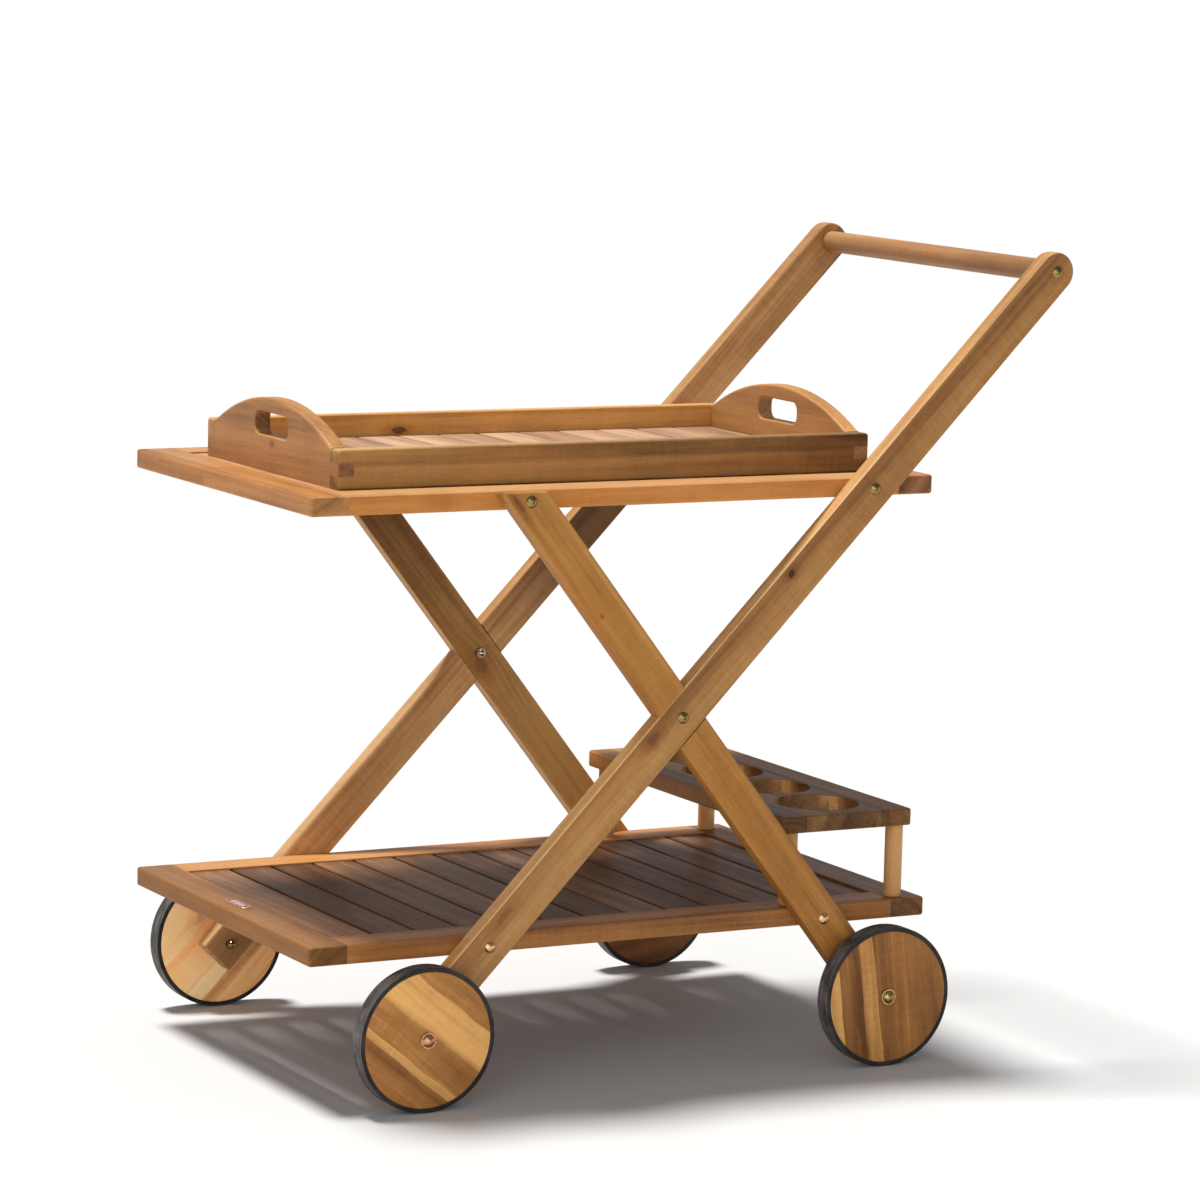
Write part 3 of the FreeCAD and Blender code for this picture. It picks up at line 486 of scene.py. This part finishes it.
for k, (node, px, py) in enumerate((("rack_post_front_left", 0.1325, -0.2045), ("rack_post_front_right", 0.1325, 0.2045),
                                    ("rack_post_rear_left", 0.2625, -0.2045), ("rack_post_rear_right", 0.2625, 0.2045))):
    wood(node, (px, py, 0.2), Z, X, "post", 65.0 + 3.3 * k, pith=(0.03, 0.03), bands=0.10, edge=0.0)

# ---- tray
# the top face is painted paler and greyer: painted sheen
wood("tray_side_left", (-0.0715, -0.156, 0.6426), X, Z, "tray", 81.3, pith=(0.040, 0.060), lean=0.012, bands=0.20, end=0.45, lift=[(Z, TOP_SHEEN, [(-0.32, 1.0), (0.32, 1.0)])],
     fade=[(-0.32, 0.24), (-0.10, -0.02), (0.10, -0.12), (0.32, -0.22)],
     shade=[(-0.021, 0.06), (0.001, 0.02), (0.006, -0.16), (0.012, -0.10), (0.016, 0.04), (0.021, 0.06)])
# the paler palette stands in for light on the tray's far side: painted light
wood("tray_side_right", (-0.0715, 0.156, 0.6426), X, Z, "tray_in", 84.8, pith=(-0.050, -0.040), lean=0.010, bands=0.16, end=0.45,
     knots=[(-0.0930, 0.0020, 0.0110, 0.0045, 0.8, 0.75)])
wood("tray_end_front", (-0.373, 0, 0.656), Y, Z, "tray_end", 87.1, pith=(0.090, 0.050), lean=0.05, bands=0.14, end=1.0,
     shade=[(-0.034, 0.04), (0.0, 0.0), (0.030, -0.12), (0.052, -0.20)],
     knots=[(-0.0031, -0.0041, 0.0042, 0.0030, 0.8, 0.50)])
wood("tray_end_rear", (0.230, 0, 0.656), Y, Z, "tray_end", 91.5, pith=(0.070, -0.050), lean=-0.03, bands=0.14, shift=0.12, end=1.0)
# the paler, greyer palette stands in for the sheen on the slats: painted sheen
wood("tray_slats", (0, 0, 0.635), Y, X, "tray_slat", 95.0, bands=0.12, shift=0.02, each=(-0.36225, 0.048458), spread=0.36)


# ---- wheels: discs cut from glued strips
def wheel(node, cx, cy, angle, seed, stops, shade, tone="wheel", waver=0.004, knots=(), lift=()):
    a = math.radians(angle)
    wood(node, (cx, cy, 0.075), (math.cos(a), 0, math.sin(a)), (-math.sin(a), 0, math.cos(a)), tone, seed,
         pith=(0.05, 0.07), lean=0.03, bands=0.14, fine=0.44, edge=0.3, waver=waver,
         strips=(-0.072, 0.072, stops), shade=shade, knots=knots, lift=lift)


wheel("wheel_disc_front_left", -0.320613, -0.2615, -39.0, 101.0,
      [(-0.072, (-0.04, 0.13, 0.12)), (-0.0363, (0.34, 0.42, 0.05)), (-0.0281, (0.08, 0.31, 0.07)), (0.0461, (-0.06, 0.88, 0.12))],
      [(-0.072, 0.08), (-0.052, 0.02), (-0.0365, -0.08), (-0.0360, 0.0), (-0.0281, 0.0), (-0.0275, 0.06), (-0.016, -0.02),
       (-0.003, -0.12), (0.0045, -0.14), (0.0085, 0.10), (0.016, 0.26), (0.036, 0.28), (0.0455, 0.20), (0.0463, -0.06), (0.052, -0.02),
       (0.060, -0.06), (0.072, 0.06)],
      waver=0.005, knots=[(0.0568, -0.0013, 0.0160, 0.0070, 0.3, 0.0, 0.55)])
wheel("wheel_disc_rear_left", 0.220383, -0.2615, -81.5, 107.0,
      [(-0.072, (0.26, 0.21, 0.06)), (-0.0564, (-0.32, 0.57, 0.10)), (-0.0301, (0.10, 0.36, 0.06)),
       (-0.0122, (-0.22, 0.79, 0.05))],
      [(-0.072, 0.0), (-0.0564, 0.04), (-0.0560, 0.0), (-0.044, 0.04), (-0.034, -0.08), (-0.0301, -0.06), (-0.026, 0.02), (-0.0125, 0.06),
       (-0.0120, 0.02), (0.006, -0.04), (0.016, 0.06), (0.031, 0.02), (0.035, -0.06), (0.046, 0.04), (0.072, 0.06)])
# the paler palette and the paler inner face stand in for light on this wheel (painted light); the outer face is painted
# darker to offset the palette
wheel("wheel_disc_front_right", -0.320613, 0.2615, 46.5, 113.0,
      [(-0.072, (0.02, 0.62, 0.12)), (-0.0447, (-0.10, 0.16, 0.12)), (-0.0308, (0.32, 0.48, 0.06)),
       (-0.0140, (0.02, 0.91, 0.14)), (0.0283, (0.16, 0.74, 0.14))],
      [(-0.072, 0.10), (-0.0447, 0.04), (-0.0308, -0.04), (-0.0306, 0.04), (-0.0140, 0.0), (-0.0138, 0.12), (0.010, 0.04), (0.0280, -0.08),
       (0.0285, 0.06), (0.072, 0.06)],
      tone="wheel_pale", waver=0.006, knots=[(0.0073, 0.0345, 0.0160, 0.0062, 0.4, 0.30, 0.85)],
      lift=[(INNER, (1.24, 1.18, 1.16), [(-0.072, 1.0), (0.072, 1.0)]), ((0, 1, 0), (0.74, 0.66, 0.56), [(-0.072, 1.0), (0.072, 1.0)])])
# the inner face is painted darker: painted shade
wheel("wheel_disc_rear_right", 0.220383, 0.2615, 12.0, 119.0,
      [(-0.072, (-0.14, 0.37, 0.16)), (-0.0310, (0.10, 0.66, 0.12)), (0.0060, (-0.22, 0.19, 0.16)),
       (0.0400, (0.26, 0.84, 0.10))],
      [(-0.072, 0.10), (-0.032, -0.06), (-0.030, 0.04), (0.006, 0.0), (0.020, 0.06), (0.040, -0.08), (0.042, 0.02), (0.072, 0.0)],
      lift=[(INNER, (0.60, 0.55, 0.48), [(-0.072, 1.0), (0.072, 1.0)])])


# ---------------------------------------------------------------- rubber tyres
def tyre(node, cx, cy, seed):
    m, n, bsdf = new_material("rubber_" + node)
    coord = n.node("ShaderNodeTexCoord")
    x, y, z = n.split(n.minus(coord.outputs["Object"], (cx, cy, 0.075)))
    turn = n.m("ARCTAN2", z, x)
    r = n.root(x * x + z * z)
    nx, ny, nz = n.split(coord.outputs["Normal"])
    side = n.smooth(abs(ny), 0.35, 0.85)
    dust = n.noise(x * 42.0 + seed, y * 90.0, z * 42.0 + seed, 4.0, 0.62)
    scuff = n.noise(turn * 4.0 + seed, y * 520.0, r * 900.0, 3.0, 0.6)
    grain = n.noise(x * 1400.0, y * 1400.0 + seed, z * 1400.0, 2.0, 0.6)
    rib = n.sine(y * 2.0 * math.pi / 0.0034) * (1.0 - side)
    ring = n.sine(r * 2.0 * math.pi / 0.0023) * side
    base = n.mix(n.smooth(dust, 0.36, 0.68), lin(38, 35, 33), lin(112, 105, 101))
    base = n.mix(n.smooth(scuff, 0.50, 0.76) * 0.50, base, lin(132, 126, 122))
    base = n.mix(side * 0.80, base, lin(20, 17, 17))
    base = n.mix(n.smooth(rib, 0.2, 1.0) * 0.20, base, lin(92, 88, 86))
    # the moulded edge between tread and side is painted grey: a painted highlight along that edge, broken up by the
    # dust
    painted_edge_highlight = n.smooth(abs(abs(y) - 0.0094), 0.0004, 0.0014, 1.0, 0.0) * (1.0 - side)
    base = n.mix(painted_edge_highlight * n.smooth(dust, 0.30, 0.60, 0.3, 1.0) * 0.45, base, lin(126, 118, 112))
    n.put(bsdf.inputs["Base Color"], base)
    n.put(bsdf.inputs["Roughness"], 0.62 + (dust - 0.5) * 0.35 + (grain - 0.5) * 0.10 - n.smooth(scuff, 0.48, 0.74) * 0.08)
    bump = n.node("ShaderNodeBump")
    bump.inputs["Strength"].default_value = 0.35
    bump.inputs["Distance"].default_value = 0.0006
    n.put(bump.inputs["Height"], rib * 0.25 + ring * 0.12 + grain * 0.35 + scuff * 0.3)
    n.put(bsdf.inputs["Normal"], bump.outputs["Normal"])
    bsdf.inputs["IOR"].default_value = 1.48
    bsdf.inputs["Specular IOR Level"].default_value = 0.34
    dress(node, m)


tyre("tyre_front_left", -0.320613, -0.2615, 3.1)
tyre("tyre_front_right", -0.320613, 0.2615, 7.7)
tyre("tyre_rear_left", 0.220383, -0.2615, 11.9)
tyre("tyre_rear_right", 0.220383, 0.2615, 15.3)


# ---------------------------------------------------------------- metal and plastic
def metal(nodes_named, name, clean, stain, rough=0.26, scale=420.0, front=None, low=None, beaten=0.0):
    """Plated metal with a little tarnish. front is the colour that the pieces towards the front end take,
    low the paler colour of the pieces near the floor, which also take less tarnish: painted light; beaten how deeply
    the face is hammered."""
    m, n, bsdf = new_material(name)
    coord = n.node("ShaderNodeTexCoord")
    x, y, z = n.split(coord.outputs["Object"])
    cloud = n.noise(x * scale, y * scale, z * scale, 4.0, 0.6)
    brush = n.noise(x * 3200.0, y * 260.0, z * 3200.0, 2.0, 0.6)
    spot = n.smooth(n.noise(x * scale * 3.1 + 5.0, y * scale * 3.1, z * scale * 3.1, 2.0, 0.5), 0.62, 0.76)
    base = clean
    if front is not None:
        base = n.mix(n.smooth(x, -0.06, -0.18), clean, front)
    tarnish = n.smooth(cloud, 0.42, 0.76)
    # pieces near the floor painted paler and less tarnished: painted light
    if low is not None:
        near = n.smooth(z, 0.34, 0.24)
        base = n.mix(near, base, low)
        tarnish = tarnish * (1.0 - near * 0.7)
    base = n.mix(tarnish, base, stain)
    base = n.mix(spot * 0.5, base, (0.10, 0.07, 0.04, 1.0))
    n.put(bsdf.inputs["Base Color"], base)
    n.put(bsdf.inputs["Roughness"], rough + (cloud - 0.5) * 0.22 + (brush - 0.5) * 0.08 + spot * 0.10)
    bsdf.inputs["Metallic"].default_value = 1.0
    bump = n.node("ShaderNodeBump")
    bump.inputs["Strength"].default_value = 0.9 if beaten else 0.18
    bump.inputs["Distance"].default_value = 0.0002
    height = brush * 0.6 + cloud * 0.6
    if beaten:
        height = height + n.noise(x * 1000.0, y * 700.0, z * 1000.0 + 2.0, 1.0, 0.4) * beaten
    n.put(bump.inputs["Height"], height)
    n.put(bsdf.inputs["Normal"], bump.outputs["Normal"])
    for node in nodes_named:
        dress(node, m)


metal(["lap_nuts"], "nickel_plated", lin(196, 190, 178), lin(118, 108, 92), rough=0.18)
metal(["axle_nuts", "plate_pins"], "brass_dark", lin(168, 140, 92), lin(84, 66, 36), rough=0.17)
# the shelf bolts near the floor are painted paler: painted light
metal(["shelf_bolts", "lap_bolts", "handle_screws"], "brass_plated",
      lin(160, 136, 86), lin(90, 72, 40), rough=0.17, low=lin(228, 188, 140))
metal(["axle_bolts", "axle_washers"], "brass_axle", lin(190, 158, 100), lin(120, 92, 54), rough=0.20, front=lin(216, 160, 126))
metal(["blank_plate"], "copper_sheet", lin(246, 196, 166), lin(196, 124, 94), rough=0.20, scale=300.0, beaten=2.5)
metal(["shelf_inserts", "axle_sleeves"], "zinc_plated", lin(176, 178, 182), lin(128, 130, 134), rough=0.34)


def spacer():
    m, n, bsdf = new_material("black_nylon")
    coord = n.node("ShaderNodeTexCoord")
    x, y, z = n.split(coord.outputs["Object"])
    fine = n.noise(x * 1800.0, y * 1800.0, z * 1800.0, 3.0, 0.6)
    slow = n.noise(x * 160.0, y * 160.0, z * 160.0, 3.0, 0.5)
    n.put(bsdf.inputs["Base Color"], n.mix(slow, lin(28, 28, 30), lin(56, 55, 56)))
    n.put(bsdf.inputs["Roughness"], 0.46 + (fine - 0.5) * 0.2 + (slow - 0.5) * 0.2)
    bump = n.node("ShaderNodeBump")
    bump.inputs["Strength"].default_value = 0.2
    bump.inputs["Distance"].default_value = 0.0002
    n.put(bump.inputs["Height"], fine)
    n.put(bsdf.inputs["Normal"], bump.outputs["Normal"])
    dress("axle_spacers", m)


spacer()


# ---------------------------------------------------------------- floor, light, camera
def make_floor():
    bm = bmesh.new()
    bmesh.ops.create_grid(bm, x_segments=1, y_segments=1, size=300.0)
    mesh = bpy.data.meshes.new("studio_floor")
    bm.to_mesh(mesh)
    bm.free()
    o = bpy.data.objects.new("studio_floor", mesh)
    scene.collection.objects.link(o)
    m = bpy.data.materials.new("pale_floor")
    m.use_nodes = True
    b = next(x for x in m.node_tree.nodes if x.type == "BSDF_PRINCIPLED")
    b.inputs["Base Color"].default_value = (0.625, 0.628, 0.632, 1.0)
    b.inputs["Roughness"].default_value = 0.9
    b.inputs["Specular IOR Level"].default_value = 0.1
    mesh.materials.append(m)


def sun(name, towards, strength, angle, colour=(1.0, 1.0, 1.0)):
    """A very broad, soft light that shines along towards."""
    data = bpy.data.lights.new(name, "SUN")
    data.energy = strength
    data.angle = math.radians(angle)
    data.color = colour
    o = bpy.data.objects.new(name, data)
    o.rotation_mode = "QUATERNION"
    o.rotation_quaternion = Vector(towards).to_track_quat("-Z", "Y")
    o.location = Vector(towards).normalized() * -4.0
    scene.collection.objects.link(o)


def make_light():
    w = bpy.data.worlds.new("studio")
    w.use_nodes = True
    bg = next(x for x in w.node_tree.nodes if x.type == "BACKGROUND")
    bg.inputs["Color"].default_value = (0.97, 0.985, 1.0, 1.0)
    # white all round at the horizon, dim overhead
    n = Net(w.node_tree)
    coord = n.node("ShaderNodeTexCoord")
    height = n.split(coord.outputs["Generated"])[2]
    n.put(bg.inputs["Strength"], n.smooth(height, 0.10, 0.25, 1.02, 0.24))
    scene.world = w
    sun("key", (0.11, -0.24, -1.0), 4.3, 12.0, (1.0, 0.985, 0.96))
    sun("fill", (0.55, 0.76, -0.35), 0.66, 50.0, (1.0, 0.985, 0.96))
    sun("back", (-0.45, -0.87, -0.24), 0.14, 50.0, (0.96, 0.98, 1.0))
    scene.view_settings.view_transform = "Standard"
    scene.view_settings.look = "None"
    scene.view_settings.exposure = 0.0
    scene.view_settings.gamma = 1.0


def make_camera():
    az, el, roll = math.radians(28.14), math.radians(7.99), math.radians(1.44)
    fwd = Vector((math.sin(az) * math.cos(el), math.cos(az) * math.cos(el), -math.sin(el)))
    right = Vector((math.cos(az), -math.sin(az), 0.0))
    up = right.cross(fwd)
    r2 = right * math.cos(roll) + up * math.sin(roll)
    u2 = right * -math.sin(roll) + up * math.cos(roll)
    data = bpy.data.cameras.new("camera")
    data.sensor_fit = "HORIZONTAL"
    data.sensor_width = 36.0
    data.lens = 4854.17 / 1200.0 * 36.0
    data.clip_start, data.clip_end = 0.1, 900.0
    o = bpy.data.objects.new("camera", data)
    m = Matrix((r2, u2, -fwd)).transposed().to_4x4()
    m.translation = Vector((-2.43085, -4.56016, 1.19761))
    o.matrix_world = m
    scene.collection.objects.link(o)
    scene.camera = o


make_floor()
make_light()
make_camera()
